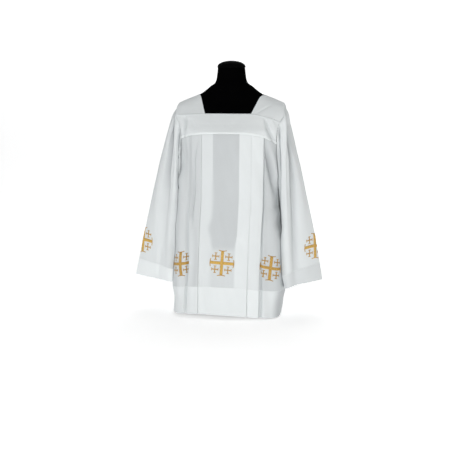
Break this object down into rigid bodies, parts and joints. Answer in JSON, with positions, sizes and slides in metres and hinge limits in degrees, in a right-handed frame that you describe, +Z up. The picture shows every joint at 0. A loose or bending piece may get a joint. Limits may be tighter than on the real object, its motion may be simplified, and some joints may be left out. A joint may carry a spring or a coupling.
{
  "type": "surplice on a limbless dress form",
  "caption": "White pleated surplice with wide sleeves, square neckline and gold embroidered crosses, standing on a black table-top dress form.",
  "frame": {"origin": "centre of the stand base's flat underside", "axes": "+Z up, -Y the side that the garment's front faces, +X to the right of someone facing its front"},
  "size_m": [0.713, 0.3205, 0.951],
  "materials": {
    "cloth": "white plain-weave cloth, slightly see-through; its fibre is not known",
    "jersey": "black stretch jersey, matt",
    "cap": "black, matt",
    "steel": "black powder coat",
    "gold_thread": "gold embroidery thread, slightly shiny; its fibre is not known"
  },
  "bodies": {
    "root": {"form_torso": "jersey", "neck_cap": "cap", "stand_post": "steel", "stand_base": "steel", "front_yoke": "cloth", "back_yoke": "cloth", "shoulder_right": "cloth", "shoulder_left": "cloth", "front_panel": "cloth", "back_panel": "cloth", "sleeve_right": "cloth", "sleeve_left": "cloth"}
  },
  "joints": []
}
